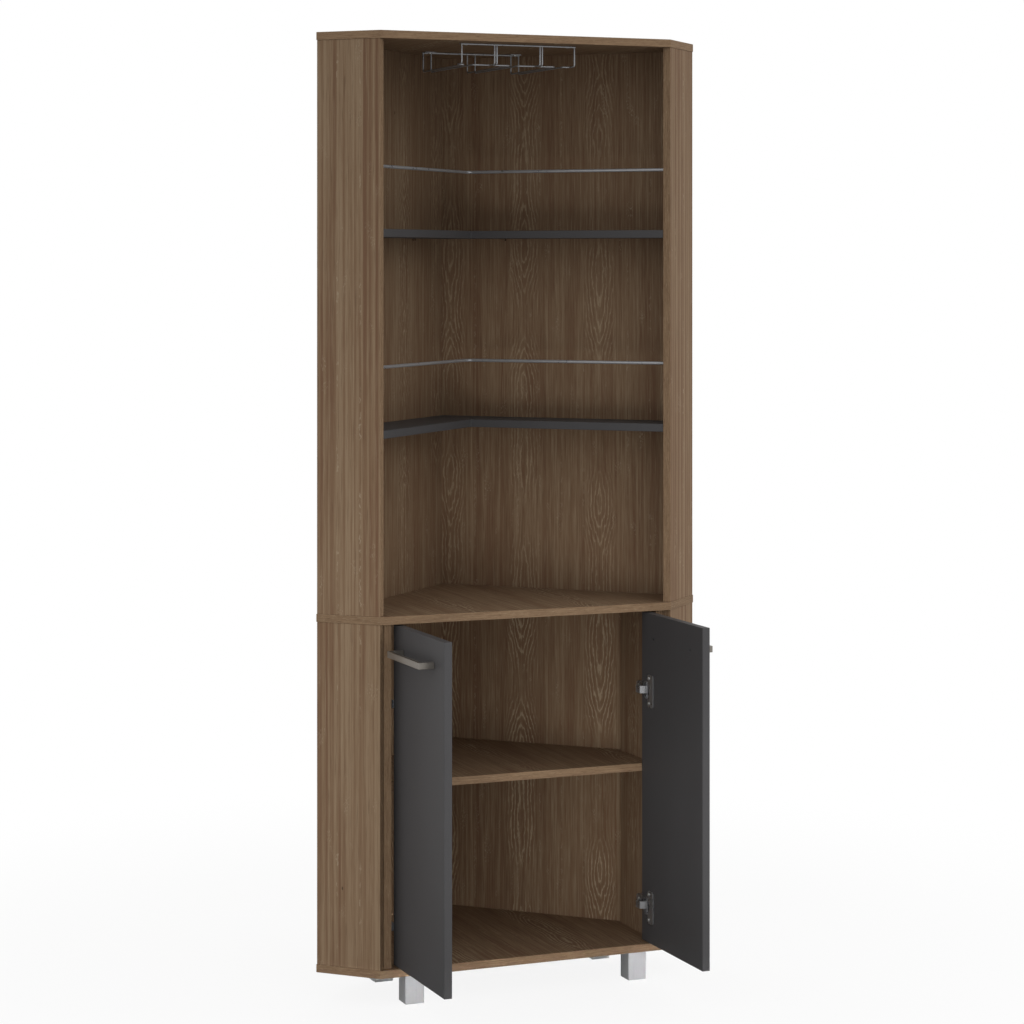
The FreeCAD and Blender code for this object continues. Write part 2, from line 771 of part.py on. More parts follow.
# An arm's web leaves the cup with a slope and turns back along the elbow to the mounting plate.
web_turn = Rotation(Vector(1, 0, 0), Vector(-sheet.arm_reach, sheet.arm_slope, 0))


def hinge_arm(level, z):
    name = f"right_{level}_hinge_arm"
    low = f"{z} - arm_height / 2"
    span = (low, f"{z} + arm_height / 2")
    knuckle = cylinder(f"{name}_knuckle", "knuckle_radius", "arm_height", pivot_x, pivot_y, low)
    left_of_line = f"{arm_line} - arm_thick / 2"
    web_length = "sqrt(arm_reach * arm_reach + arm_slope * arm_slope)"
    web = doc.addObject("Part::Box", f"{name}_web")
    bind(web, Length=web_length, Width="arm_thick", Height="arm_height")
    runs = [
        place(web, pivot_x, pivot_y, low, web_turn),
        box(
            f"{name}_elbow",
            (left_of_line, f"{arm_line} + arm_thick / 2"),
            (f"{pivot_y} + arm_slope - arm_thick", arm_far_y),
            span,
        ),
        box(f"{name}_across", (left_of_line, plate_face), (f"{arm_far_y} - arm_thick", arm_far_y), span),
        box(
            f"{name}_on_plate",
            (f"{plate_face} - arm_thick", plate_face),
            (f"{arm_far_y} - arm_thick", plate_rear),
            span,
        ),
    ]
    pin_hole = cylinder(
        f"{name}_pin_hole", "hinge_pin_radius + hinge_pin_gap", "arm_height", pivot_x, pivot_y, low
    )
    return cut(name, fuse(f"{name}_blank", [knuckle, *runs]), [pin_hole, arm_screw_bores])


def hinge_plate(level, z):
    name = f"right_{level}_hinge_plate"
    block = box(
        f"{name}_block",
        (plate_face, hinge_in),
        (arm_far_y, plate_rear),
        (f"{z} - plate_height / 2", f"{z} + plate_height / 2"),
    )
    wings = box(
        f"{name}_wings",
        (f"{hinge_in} - wing_thick", hinge_in),
        (f"{plate_middle} - wing_width / 2", f"{plate_middle} + wing_width / 2"),
        (f"{z} - wing_height / 2", f"{z} + wing_height / 2"),
    )
    return cut(name, fuse(f"{name}_blank", [block, wings]), [plate_screw_bores, arm_screw_bores])


def hinge_panel():
    blank = box("hinge_panel_blank", (hinge_in, hinge_out), (hinge_front, hinge_rear), lower_span)
    bores = [bottom_bores, hinge_dowel_bores, plate_screw_bores, pin_bores]
    return cut("right_hinge_panel", rounded(blank), bores)


def right_and_left(name, item):
    piece(f"right_{name}", item)
    piece(f"left_{name}", mirror(f"left_{name}", item))


right_and_left("hinge_panel", hinge_panel())
right_and_left("door", door_panel())
right_and_left("handle", handle())
right_and_left("handle_screws", right_handle_screws)
right_and_left("cup_screws", right_cup_screws)
for level, z in hinge_heights.items():
    right_and_left(f"{level}_hinge_cup", hinge_cup(level, z))
    right_and_left(f"{level}_hinge_pin", hinge_pin(level, z))
    right_and_left(f"{level}_hinge_arm", hinge_arm(level, z))
    right_and_left(f"{level}_hinge_plate", hinge_plate(level, z))

doc.recompute()
for item in doc.Objects:
    if {"Invalid", "Error"} & set(item.State):
        raise RuntimeError(f"{item.Label} failed: {item.State}")
for label, item in pieces.items():
    if item.Shape.isNull() or not item.Shape.isValid() or not item.Shape.Solids:
        raise RuntimeError(f"{label} has no valid solid")

os.makedirs("parts", exist_ok=True)
for label, item in pieces.items():
    item.Shape.exportStep(f"parts/{label}.step")
print(len(pieces), "pieces written")
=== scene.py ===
import math

import bpy
import bmesh
import numpy as np
from mathutils import Matrix, Vector


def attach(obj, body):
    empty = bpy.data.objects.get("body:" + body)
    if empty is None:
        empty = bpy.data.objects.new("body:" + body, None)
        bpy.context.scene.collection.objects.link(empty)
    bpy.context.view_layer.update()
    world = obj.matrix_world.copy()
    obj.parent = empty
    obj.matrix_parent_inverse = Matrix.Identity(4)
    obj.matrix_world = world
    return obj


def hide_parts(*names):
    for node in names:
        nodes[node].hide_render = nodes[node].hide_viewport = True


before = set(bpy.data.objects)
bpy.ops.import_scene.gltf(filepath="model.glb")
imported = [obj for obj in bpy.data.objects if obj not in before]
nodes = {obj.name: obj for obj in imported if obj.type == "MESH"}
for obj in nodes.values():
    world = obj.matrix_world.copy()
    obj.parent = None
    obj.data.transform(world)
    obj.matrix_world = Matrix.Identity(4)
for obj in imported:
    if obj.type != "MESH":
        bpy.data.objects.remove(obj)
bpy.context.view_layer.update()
scene = bpy.context.scene
print("frame loaded:", len(nodes), "nodes")


# shader helpers
def paint(red, green, blue):
    def linear(value):
        value /= 255
        return value / 12.92 if value <= 0.04045 else ((value + 0.055) / 1.055) ** 2.4
    return (linear(red), linear(green), linear(blue), 1)


def add(tree, kind, sockets=None, **settings):
    made = tree.nodes.new("ShaderNode" + kind)
    for key, value in settings.items():
        setattr(made, key, value)
    for key, value in (sockets or {}).items():
        if isinstance(value, bpy.types.NodeSocket):
            tree.links.new(value, made.inputs[key])
        else:
            made.inputs[key].default_value = value
    return made


def calc(tree, operation, *values):
    return add(tree, "Math", dict(enumerate(values)), operation=operation).outputs[0]


def blend(tree, factor, first, second):
    return add(tree, "Mix", {0: factor, 6: first, 7: second}, data_type="RGBA").outputs[2]


def smooth(tree, value, low, high, start=0.0, end=1.0):
    sockets = {"Value": value, "From Min": low, "From Max": high, "To Min": start, "To Max": end}
    return add(tree, "MapRange", sockets, interpolation_type="SMOOTHSTEP").outputs[0]


def ramp(tree, factor, stops):
    made = add(tree, "ValToRGB", {"Fac": factor})
    elements = made.color_ramp.elements
    while len(elements) < len(stops):
        elements.new(0.5)
    for element, (place, colour) in zip(elements, stops):
        element.position = place
        element.color = colour
    return made.outputs[0]


def split(tree, vector):
    return add(tree, "SeparateXYZ", {"Vector": vector}).outputs


def scaled(tree, spot, steps):
    sockets = {0: spot, 1: [1 / step for step in steps]}
    return add(tree, "VectorMath", sockets, operation="MULTIPLY").outputs[0]


def stretched(tree, spot, steps, detail=2.0, rough=0.5):
    place = scaled(tree, spot, steps)
    sockets = {"Vector": place, "Scale": 1.0, "Detail": detail, "Roughness": rough}
    return add(tree, "TexNoise", sockets).outputs[0]


def millimetres(tree, turn=(0, 0, 0), shift=(0, 0, 0)):
    sockets = {
        "Vector": add(tree, "TexCoord").outputs["Object"],
        "Rotation": turn,
        "Scale": (1000, 1000, 1000),
        "Location": shift,
    }
    return add(tree, "Mapping", sockets).outputs[0]


def rayIs(tree, *kinds):
    path = add(tree, "LightPath")
    found = path.outputs[kinds[0]]
    for kind in kinds[1:]:
        found = calc(tree, "MAXIMUM", found, path.outputs[kind])
    return found


def newFinish(name, **sockets):
    material = bpy.data.materials.new(name)
    material.use_nodes = True
    shader = material.node_tree.nodes["Principled BSDF"]
    for key, value in sockets.items():
        shader.inputs[key.replace("_", " ")].default_value = value
    return material, material.node_tree, shader


def dress(tree, shader, colour, rough):
    tree.links.new(colour, shader.inputs["Base Color"])
    tree.links.new(rough, shader.inputs["Roughness"])


def relief(tree, shader, height, strength, distance):
    bump = add(tree, "Bump", {"Height": height, "Strength": strength, "Distance": distance})
    tree.links.new(bump.outputs[0], shader.inputs["Normal"])


def finishNode(name, material):
    mesh = nodes[name].data
    mesh.materials.clear()
    mesh.materials.append(material)


# oak laminate: straight grain with heart figure in strips, sizes in millimetres
oakLook = {
    "pale": paint(138, 117, 94),
    "middle": paint(123, 100, 78),
    "deep": paint(110, 84, 65),
    "darkLine": paint(90, 69, 52),
    "figure": paint(160, 142, 117),
    "fleck": paint(170, 154, 131),
    "speck": paint(52, 38, 29),
    "bandPale": paint(140, 116, 91),
    "bandDeep": paint(116, 93, 72),
    "ringPitch": 6.8,
    "heartRound": 5.0,
    "heartWidth": (17.0, 40.0),
    "heartRun": 230.0,
    "sway": 15.0,
    "swayLength": 260.0,
    "fleckPitch": 47.0,
    "fleckLength": 13.0,
    "fleckRun": 110.0,
    "bumpDistance": 0.0004,
}
# how far each noise stretches across, through and along the grain
oakSteps = {
    "stripes": (6.2, 6.2, 2600),
    "clouds": (34, 34, 480),
    "ribbons": (3.6, 3.6, 210),
    "streaks": (1.4, 1.4, 52),
    "darkLines": (1.7, 1.7, 80),
    "threads": (1.9, 1.9, 95),
    "pores": (0.8, 0.8, 14),
    "teeth": (2.6, 2.6, 11),
    "wobble": (8, 8, 34),
    "curl": (5, 5, 6),
    "patches": (26, 26, 70),
    "scribble": (1.3, 1.3, 4.5),
    "specks": (80, 80, 160),
}


# oak colours scaled by a board's painted light level: above 1 painted light, below 1 painted shade
def oakTones(paintedLightLevel, *keys):
    return [[part * paintedLightLevel for part in oakLook[key][:3]] + [1] for key in keys]


def oakNoise(tree, spot, key, detail=2.0, rough=0.5):
    return stretched(tree, spot, oakSteps[key], detail, rough)


# noise that changes along the grain only, different on each line
def lineNoise(tree, line, along, length, seed):
    place = {
        "X": calc(tree, "MULTIPLY", line, 7.3),
        "Y": calc(tree, "DIVIDE", along, length),
        "Z": seed,
    }
    spot = add(tree, "CombineXYZ", place).outputs[0]
    return add(tree, "TexNoise", {"Vector": spot, "Scale": 1.0, "Detail": 1.0}).outputs[0]


def oakGrain(tree, spot, stripe, paintedLightLevel):
    stripes = oakNoise(tree, spot, "stripes", 1)
    clouds = oakNoise(tree, spot, "clouds", 1)
    ribbons = oakNoise(tree, spot, "ribbons")
    streaks = oakNoise(tree, spot, "streaks", 2, 0.6)
    tone = calc(tree, "MULTIPLY_ADD", streaks, 0.5, calc(tree, "MULTIPLY", ribbons, 0.5))
    tone = calc(tree, "MULTIPLY", tone, 1 - stripe)
    tone = calc(tree, "MULTIPLY_ADD", stripes, stripe, tone)
    tone = calc(tree, "MULTIPLY_ADD", calc(tree, "SUBTRACT", clouds, 0.5), 0.25, tone)
    tones = oakTones(paintedLightLevel, "deep", "middle", "pale")
    colour = ramp(tree, tone, list(zip((0.38, 0.5, 0.62), tones)))
    darkLines = smooth(tree, oakNoise(tree, spot, "darkLines"), 0.57, 0.74, 0, 0.55)
    colour = blend(tree, darkLines, colour, oakLook["darkLine"])
    threads = smooth(tree, oakNoise(tree, spot, "threads"), 0.58, 0.76, 0, 0.35)
    return blend(tree, threads, colour, oakLook["figure"]), streaks


# heart figure: rings that swing along the grain, in a strip around each heart line
def oakHearts(tree, colour, spot, wobble, pores, hearts, figure):
    look = oakLook
    across, _, along = split(tree, spot)
    teeth = oakNoise(tree, spot, "teeth", 1)
    start, pitch = hearts
    fromHeart = calc(tree, "SUBTRACT", across, start)
    heart = calc(tree, "WRAP", fromHeart, pitch / 2, -pitch / 2)
    strip = calc(tree, "ROUND", calc(tree, "DIVIDE", fromHeart, pitch))
    fade = smooth(tree, calc(tree, "ABSOLUTE", heart), *look["heartWidth"], 1, 0)
    runs = smooth(tree, lineNoise(tree, strip, along, look["heartRun"], 3.1), 0.32, 0.52, 0.15, 1)
    sway = lineNoise(tree, strip, along, look["swayLength"], 0.4)
    bow = calc(tree, "MULTIPLY_ADD", heart, heart, look["heartRound"] ** 2)
    rings = calc(tree, "DIVIDE", calc(tree, "SQRT", bow), look["ringPitch"])
    rings = calc(tree, "MULTIPLY_ADD", sway, look["sway"], rings)
    rings = calc(tree, "MULTIPLY_ADD", teeth, 0.5, rings)
    phase = calc(tree, "FRACT", calc(tree, "MULTIPLY_ADD", wobble, 1.2, rings))
    offRing = calc(tree, "ABSOLUTE", calc(tree, "SUBTRACT", phase, 0.5))
    strength = calc(tree, "MULTIPLY", smooth(tree, pores, 0.32, 0.6, 0.55, 1), fade)
    strength = calc(tree, "MULTIPLY", calc(tree, "MULTIPLY", strength, runs), figure)
    paleRing = calc(tree, "MULTIPLY", smooth(tree, offRing, 0.04, 0.18, 1, 0), strength)
    deepRing = calc(tree, "MULTIPLY", smooth(tree, offRing, 0.2, 0.4, 0, 0.7), strength)
    colour = blend(tree, paleRing, colour, look["figure"])
    return blend(tree, deepRing, colour, look["deep"])


# sparse pale flecks along some growth lines, small scribbled patches and a rare dark speck
def oakFlecks(tree, colour, spot, wobble, flecks):
    look = oakLook
    across, _, along = split(tree, spot)
    pitch = look["fleckPitch"]
    fromRow = calc(tree, "MULTIPLY_ADD", wobble, 6.0, across)
    fromRow = calc(tree, "MULTIPLY_ADD", oakNoise(tree, spot, "curl", 1), 7.0, fromRow)
    offRow = calc(tree, "ABSOLUTE", calc(tree, "WRAP", fromRow, pitch / 2, -pitch / 2))
    row = calc(tree, "ROUND", calc(tree, "DIVIDE", fromRow, pitch))
    dots = smooth(tree, lineNoise(tree, row, along, look["fleckLength"], 0.8), 0.46, 0.62)
    runs = smooth(tree, lineNoise(tree, row, along, look["fleckRun"], 5.6), 0.48, 0.62)
    fleck = calc(tree, "MULTIPLY", smooth(tree, offRow, 0.4, 1.7, flecks, 0), dots)
    colour = blend(tree, calc(tree, "MULTIPLY", fleck, runs), colour, look["fleck"])
    patches = smooth(tree, oakNoise(tree, spot, "patches", 1), 0.64, 0.74)
    scribble = smooth(tree, oakNoise(tree, spot, "scribble"), 0.54, 0.66, 0, 0.45)
    colour = blend(tree, calc(tree, "MULTIPLY", patches, scribble), colour, look["fleck"])
    cell = scaled(tree, spot, oakSteps["specks"])
    specks = add(tree, "TexVoronoi", {"Vector": cell, "Scale": 1.0}).outputs["Distance"]
    return blend(tree, smooth(tree, specks, 0.012, 0.03, 0.7, 0), colour, look["speck"])


# edge band: streaks with shorter pale and dark dashes, its colours scaled by a painted light level
def oakBand(tree, spot, steps, paintedLightLevel):
    streaks = stretched(tree, spot, steps, 3, 0.6)
    dashes = stretched(tree, spot, [step if step < 5 else step / 5 for step in steps])
    colour = ramp(tree, streaks, list(zip((0.34, 0.64), oakTones(paintedLightLevel, "bandDeep", "bandPale"))))
    colour = blend(tree, smooth(tree, dashes, 0.58, 0.72, 0, 0.4), colour, oakLook["figure"])
    return blend(tree, smooth(tree, dashes, 0.42, 0.28, 0, 0.5), colour, oakLook["darkLine"])


# panels stand turned about Z and boards lie flat: the grain runs along the turned Z,
# faces look along the turned Y and edges carry a band
# the two tone factors scale the face and edge band colours as painted light and shade
def oakFinish(name, turn, shift, hearts, figure, flecks, stripe, paintedLightLevel, bandPaintedLightLevel, bandSteps):
    material, tree, shader = newFinish(name, Specular_IOR_Level=0.08)
    angles = [math.radians(angle) for angle in turn]
    spot = millimetres(tree, angles, shift)
    pores = oakNoise(tree, spot, "pores")
    wobble = oakNoise(tree, spot, "wobble")
    colour, streaks = oakGrain(tree, spot, stripe, paintedLightLevel)
    colour = oakHearts(tree, colour, spot, wobble, pores, hearts, figure)
    colour = oakFlecks(tree, colour, spot, wobble, flecks)
    turned = {"Vector": add(tree, "TexCoord").outputs["Normal"], "Rotation": angles}
    normal = add(tree, "Mapping", turned, vector_type="VECTOR").outputs[0]
    facing = calc(tree, "ABSOLUTE", split(tree, normal)[1])
    band = oakBand(tree, millimetres(tree), bandSteps, bandPaintedLightLevel)
    colour = blend(tree, smooth(tree, facing, 0.45, 0.75), band, colour)
    dress(tree, shader, colour, smooth(tree, streaks, 0.2, 0.8, 0.58, 0.7))
    height = calc(tree, "MULTIPLY_ADD", pores, 0.6, streaks)
    relief(tree, shader, height, 0.12, oakLook["bumpDistance"])
    return material


# each panel is cut from its own part of the sheet, the short sides from a striped part; the tone factors
# are painted light and shade
oakPanels = {
    "upper_right_back": {"turn": (0, 0, 45), "hearts": (148, 162), "shift": (0, 0, 0), "figure": 0.6},
    "lower_right_back": {"turn": (0, 0, 45), "hearts": (142, 169), "shift": (0, 0, 731), "figure": 1.0},
    "upper_left_back": {"turn": (0, 0, -45), "hearts": (-147, 152), "shift": (0, 310, 213), "figure": 0.6},
    "lower_left_back": {"turn": (0, 0, -45), "hearts": (-70, 152), "shift": (0, 310, 977), "figure": 0.9},
    "left_hinge_panel": {"turn": (0, 0, 90), "hearts": (300, 170), "shift": (0, 11, 55), "figure": 0.5},
    "right_hinge_panel": {"turn": (0, 0, 90), "hearts": (300, 170), "shift": (0, 83, 690), "figure": 0.5},
}
panelLook = {
    "flecks": 0.25,
    "stripe": 0.17,
    # the 0.96 tone factor is painted shade, darkening the back and hinge panels inside the niches
    "paintedLightLevel": 0.96,
    "bandPaintedLightLevel": 1.0,
    "bandSteps": (1.3, 1.3, 45),
}
# the tone factors on the short sides are painted light: 1.14 on the right sides, where the lamps from the
# right fall, and 1.09 on the left
oakSides = {
    "upper_left_side": {"turn": (0, 0, 45), "shift": (0, 37, 420), "paintedLightLevel": 1.09},
    "lower_left_side": {"turn": (0, 0, 45), "shift": (0, 37, 150), "paintedLightLevel": 1.09},
    "upper_right_side": {"turn": (0, 0, -45), "shift": (0, 71, 640), "paintedLightLevel": 1.14},
    "lower_right_side": {"turn": (0, 0, -45), "shift": (0, 71, 80), "paintedLightLevel": 1.14},
}
sideLook = {
    "hearts": (400, 900),
    "figure": 0.5,
    "flecks": 0.5,
    "stripe": 0.58,
    "bandPaintedLightLevel": 1.0,
    "bandSteps": (1.3, 1.3, 45),
}
oakBoards = {
    # the band tone factors are painted light, lightening the front edges of the top board (1.16) and the
    # inner shelf (1.12)
    "top_board": {"hearts": (60, 205), "shift": (0, 0, 90), "bandPaintedLightLevel": 1.16},
    "counter_board": {"hearts": (140, 245), "shift": (0, 0, 515), "bandPaintedLightLevel": 1.0},
    "bottom_board": {"hearts": (113, 245), "shift": (0, 0, 270), "bandPaintedLightLevel": 1.0},
    "inner_shelf": {"hearts": (20, 225), "shift": (0, 0, 860), "bandPaintedLightLevel": 1.12},
}
boardLook = {
    "turn": (90, 0, 0),
    "figure": 1.0,
    "flecks": 0.3,
    "stripe": 0.17,
    # the 1.05 tone factor is painted light on the board faces
    "paintedLightLevel": 1.05,
    "bandSteps": (45, 45, 1.3),
}
for pieces, shared in ((oakPanels, panelLook), (oakSides, sideLook), (oakBoards, boardLook)):
    for name, look in pieces.items():
        finishNode(name, oakFinish(name + "Oak", **look, **shared))
print("oak laminate on", len(oakPanels) + len(oakSides) + len(oakBoards), "boards")


# graphite laminate: matte melamine with a fine pearl texture, steps in millimetres
graphiteLook = {
    "dark": paint(64, 63, 64),
    "light": paint(76, 75, 76),
    "dust": paint(96, 95, 96),
    "pearlSteps": (0.9, 0.9, 0.9),
    "cloudSteps": (70, 70, 110),
    "bumpDistance": 0.0003,
}


def graphiteFinish():
    look = graphiteLook
    material, tree, shader = newFinish("graphiteLaminate", Specular_IOR_Level=0.2)
    spot = millimetres(tree)
    pearl = stretched(tree, spot, look["pearlSteps"], 3, 0.6)
    cloud = stretched(tree, spot, look["cloudSteps"], 3)
    grain = calc(tree, "MULTIPLY_ADD", cloud, 0.2, calc(tree, "MULTIPLY", pearl, 0.8))
    colour = ramp(tree, grain, [(0.32, look["dark"]), (0.68, look["light"])])
    colour = blend(tree, smooth(tree, pearl, 0.68, 0.8, 0, 0.3), colour, look["dust"])
    dress(tree, shader, colour, smooth(tree, grain, 0.3, 0.7, 0.46, 0.58))
    relief(tree, shader, pearl, 0.1, look["bumpDistance"])
    return material


graphite = graphiteFinish()
for name in ("upper_shelf", "middle_shelf", "left_door", "right_door"):
    finishNode(name, graphite)


# metals: steps give the stretch of the brush marks in millimetres
metalLooks = {
    "legAluminium": {
        "pale": paint(214, 215, 216),
        "deep": paint(198, 199, 201),
        "steps": (0.5, 0.5, 60),
        "rough": (0.34, 0.44),
        "metal": 0.4,
        "bump": 0.05,
    },
    "chromeWire": {
        "pale": paint(162, 163, 165),
        "deep": paint(146, 147, 150),
        "steps": (9, 9, 9),
        "rough": (0.26, 0.34),
        "metal": 0.4,
        "bump": 0.0,
    },
    "brushedNickel": {
        "pale": paint(144, 139, 132),
        "deep": paint(120, 115, 108),
        "steps": (0.4, 55, 0.4),
        "rough": (0.3, 0.42),
        "metal": 0.85,
        "bump": 0.06,
    },
    "hingeSteel": {
        "pale": paint(164, 164, 165),
        "deep": paint(142, 142, 144),
        "steps": (14, 14, 14),
        "rough": (0.24, 0.34),
        "metal": 0.75,
        "bump": 0.0,
    },
    "zincSteel": {
        "pale": paint(206, 206, 203),
        "deep": paint(172, 173, 170),
        "steps": (1.2, 1.2, 1.2),
        "rough": (0.24, 0.4),
        "metal": 0.9,
        "bump": 0.05,
    },
    "bronzedSteel": {
        "pale": paint(112, 90, 70),
        "deep": paint(98, 78, 60),
        "steps": (1.2, 1.2, 1.2),
        "rough": (0.5, 0.6),
        "metal": 0.1,
        "bump": 0.05,
    },
    "blackZinc": {
        "pale": paint(66, 66, 69),
        "deep": paint(54, 54, 57),
        "steps": (1.2, 1.2, 1.2),
        "rough": (0.5, 0.6),
        "metal": 0.2,
        "bump": 0.05,
    },
}
metalWear = {"steps": (28, 28, 28), "bumpDistance": 0.0002}


def metalFinish(name, pale, deep, steps, rough, metal, bump):
    material, tree, shader = newFinish(name, Metallic=metal)
    spot = millimetres(tree)
    brush = stretched(tree, spot, steps, 3, 0.6)
    wear = stretched(tree, spot, metalWear["steps"], 3)
    marks = calc(tree, "MULTIPLY_ADD", wear, 0.4, calc(tree, "MULTIPLY", brush, 0.6))
    colour = ramp(tree, marks, [(0.3, deep), (0.7, pale)])
    dress(tree, shader, colour, smooth(tree, marks, 0.25, 0.75, *rough))
    if bump:
        relief(tree, shader, brush, bump, metalWear["bumpDistance"])
    return material


metals = {name: metalFinish(name, **look) for name, look in metalLooks.items()}
for name in nodes:
    if name.endswith("_leg"):
        finishNode(name, metals["legAluminium"])
    elif name.endswith("_rail") or name == "glass_rack":
        finishNode(name, metals["chromeWire"])
    elif name.endswith("_handle"):
        finishNode(name, metals["brushedNickel"])
    elif "_hinge_" in name and not name.endswith("_panel"):
        finishNode(name, metals["hingeSteel"])
    elif name.endswith(("_screws", "_studs")):
        finishNode(name, metals["zincSteel"])
finishNode("shelf_pins", metals["bronzedSteel"])


# beech dowels inside the joints, steps in millimetres
beechLook = {"pale": paint(214, 186, 150), "deep": paint(188, 154, 116), "steps": (1.1, 1.1, 14)}


def beechFinish():
    material, tree, shader = newFinish("beech", Specular_IOR_Level=0.3)
    streaks = stretched(tree, millimetres(tree), beechLook["steps"], 3)
    colour = ramp(tree, streaks, [(0.3, beechLook["deep"]), (0.7, beechLook["pale"])])
    dress(tree, shader, colour, smooth(tree, streaks, 0.2, 0.8, 0.55, 0.7))
    return material


finishNode("dowels", beechFinish())
print("finishes assigned")


# screws in millimetres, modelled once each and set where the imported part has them
screwTypes = {
    "woodScrew": {
        "headRadius": 3.5,
        "headHeight": 1.8,
        "shankRadius": 1.75,
        "length": 13.8,
        "recess": "cross",
    },
    "armScrew": {
        "headRadius": 3.5,
        "headHeight": 1.8,
        "shankRadius": 2.0,
        "length": 10.8,
        "recess": "cross",
    },
    "handleScrew": {
        "headRadius": 4.0,
        "headHeight": 2.5,
        "shankRadius": 2.0,
        "length": 27.0,
        "recess": "hex",
    },
    "boardScrew": {
        "headRadius": 5.0,
        "headHeight": 4.0,
        "shankRadius": 3.5,
        "length": 50.0,
        "recess": "hex",
    },
}
# shares of the head's radius and height, and of the shank's length and radius
screwShares = {
    "crossRim": 0.45,
    "crossLong": 1.15,
    "crossNarrow": 0.26,
    "crossDepth": 1.1,
    "hexRim": 0.125,
    "hexRadius": 0.46,
    "hexDepth": 1.4,
    "straight": 0.85,
    "tip": 0.45,
}
screwNodes = {
    "right_cup_screws": ("woodScrew", "zincSteel"),
    "left_cup_screws": ("woodScrew", "zincSteel"),
    "plate_screws": ("woodScrew", "zincSteel"),
    "rack_screws": ("woodScrew", "zincSteel"),
    "arm_screws": ("armScrew", "zincSteel"),
    "right_handle_screws": ("handleScrew", "blackZinc"),
    "left_handle_screws": ("handleScrew", "blackZinc"),
    "assembly_screws": ("boardScrew", "zincSteel"),
}


def onlySelect(*items):
    bpy.ops.object.select_all(action="DESELECT")
    for item in items:
        item.select_set(True)
    bpy.context.view_layer.objects.active = items[0]


def selectFaces(item, test):
    mesh = bmesh.from_edit_mesh(item.data)
    for face in mesh.faces:
        face.select_set(test(face))
    bmesh.update_edit_mesh(item.data)


# tools for the driver's recess: two crossed bars or a six-sided bar
def recessCutters(recess, head, tall):
    shares = screwShares
    cutters = []
    if recess == "cross":
        wide = head * shares["crossLong"]
        narrow = head * shares["crossNarrow"]
        for sizes in ((wide, narrow), (narrow, wide)):
            bpy.ops.mesh.primitive_cube_add(size=1, location=(0, 0, 0))
            cutters.append(bpy.context.object)
            cutters[-1].scale = (*sizes, tall * shares["crossDepth"])
            bpy.ops.object.transform_apply(scale=True)
    else:
        radius = head * shares["hexRadius"]
        depth = tall * shares["hexDepth"]
        bpy.ops.mesh.primitive_cylinder_add(vertices=6, radius=radius, depth=depth, location=(0, 0, 0))
        cutters.append(bpy.context.object)
    return cutters


def makeScrew(name, look):
    sizes = ("headRadius", "headHeight", "shankRadius", "length")
    head, tall, shank, length = (look[key] / 1000 for key in sizes)
    bpy.ops.object.select_all(action="DESELECT")
    bpy.ops.mesh.primitive_cylinder_add(vertices=32, radius=head, depth=tall, location=(0, 0, tall / 2))
    screw = bpy.context.object
    screw.name = name
    bpy.ops.object.transform_apply(location=True)
    bpy.ops.object.mode_set(mode="EDIT")
    bpy.ops.mesh.select_mode(type="FACE")
    # rounded rim on the outer face
    selectFaces(screw, lambda face: face.normal.z < -0.9)
    rim = tall * screwShares[look["recess"] + "Rim"]
    bpy.ops.mesh.bevel(offset=rim, segments=4, affect="EDGES")
    # shank drawn out of the inner face, with a tapered end
    selectFaces(screw, lambda face: face.normal.z > 0.9)
    bpy.ops.mesh.inset(thickness=head - shank)
    straight = screwShares["straight"]
    for share in (straight, 1 - straight):
        step = (0, 0, (length - tall) * share)
        bpy.ops.mesh.extrude_region_move(TRANSFORM_OT_translate={"value": step})
    bpy.ops.transform.resize(value=(screwShares["tip"], screwShares["tip"], 1))
    bpy.ops.object.mode_set(mode="OBJECT")
    for cutter in recessCutters(look["recess"], head, tall):
        cut = screw.modifiers.new("recess", "BOOLEAN")
        cut.operation = "DIFFERENCE"
        cut.object = cutter
        onlySelect(screw)
        bpy.ops.object.modifier_apply(modifier=cut.name)
        bpy.data.objects.remove(cutter, do_unlink=True)
    bpy.ops.object.shade_smooth_by_angle(angle=math.radians(35))
    return screw


# middle of the head and direction of each screw, from the loose shells of the node's mesh in a copy
def screwPlaces(nodeName):
    mergeGap = 1e-6
    endGap = 1e-5
    mesh = bmesh.new()
    mesh.from_mesh(nodes[nodeName].data)
    bmesh.ops.remove_doubles(mesh, verts=mesh.verts, dist=mergeGap)
    left = set(mesh.verts)
    places = []
    while left:
        queue = [left.pop()]
        shell = []
        while queue:
            vertex = queue.pop()
            shell.append(np.array(vertex.co))
            for edge in vertex.link_edges:
                other = edge.other_vert(vertex)
                if other in left:
                    left.remove(other)
                    queue.append(other)
        points = np.array(shell)
        middle = (points.max(0) + points.min(0)) / 2
        axis = np.linalg.eigh(np.cov((points - middle).T))[1][:, -1]
        reach = (points - middle) @ axis
        spread = np.linalg.norm(points - middle - np.outer(reach, axis), axis=1)
        if reach[spread.argmax()] > 0:
            axis, reach = -axis, -reach
        start = points[reach < reach.min() + endGap]
        places.append((Vector((start.max(0) + start.min(0)) / 2), Vector(axis)))
    mesh.free()
    return places


def setScrews(nodeName, master, metal, body):
    copies = []
    for head, axis in screwPlaces(nodeName):
        copy = bpy.data.objects.new("screw", master.data.copy())
        scene.collection.objects.link(copy)
        turn = axis.to_track_quat("Z", "Y").to_matrix().to_4x4()
        copy.data.transform(Matrix.Translation(head) @ turn)
        copies.append(copy)
    onlySelect(*copies)
    if len(copies) > 1:
        bpy.ops.object.join()
    piece = bpy.context.object
    words = nodeName.split("_")
    piece.name = words[0] + "".join(word.capitalize() for word in words[1:]) + "Set"
    piece.data.materials.clear()
    piece.data.materials.append(metals[metal])
    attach(piece, body)
    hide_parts(nodeName)
    return len(copies)


